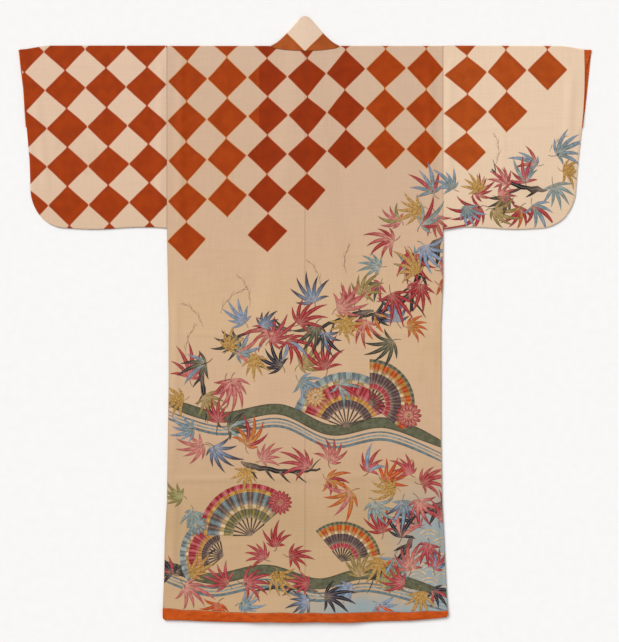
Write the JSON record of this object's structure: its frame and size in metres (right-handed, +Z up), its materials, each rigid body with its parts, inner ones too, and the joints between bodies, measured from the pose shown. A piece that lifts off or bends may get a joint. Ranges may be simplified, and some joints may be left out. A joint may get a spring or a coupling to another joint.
{
  "type": "kosode robe laid flat",
  "caption": "Straight-cut lined silk robe laid flat with its back up: full back, folded fronts under it, square sleeves with small wrist openings, band collar and rolled hem.",
  "frame": {"origin": "middle of the garment's outline seen from above, on the surface it lies on", "axes": "+Z up off the surface, +Y from the hem to the collar, -X towards the wearer's left sleeve; the back is uppermost"},
  "size_m": [1.3276, 1.4042, 0.0112],
  "materials": {
    "silk": "aged cream silk with rust checks on the bias over the shoulders and sleeves, and many-coloured leaf and flower motifs",
    "lining": "plain orange-red silk with a soft sheen"
  },
  "bodies": {
    "root": {"body_left": "silk", "body_right": "silk", "overlap_left": "silk", "overlap_right": "silk", "sleeve_left": "silk", "sleeve_right": "silk", "collar": "silk", "cuff_lining_left": "lining", "cuff_lining_right": "lining", "hem_back": "lining", "hem_front_left": "lining", "hem_front_right": "lining"}
  },
  "joints": []
}
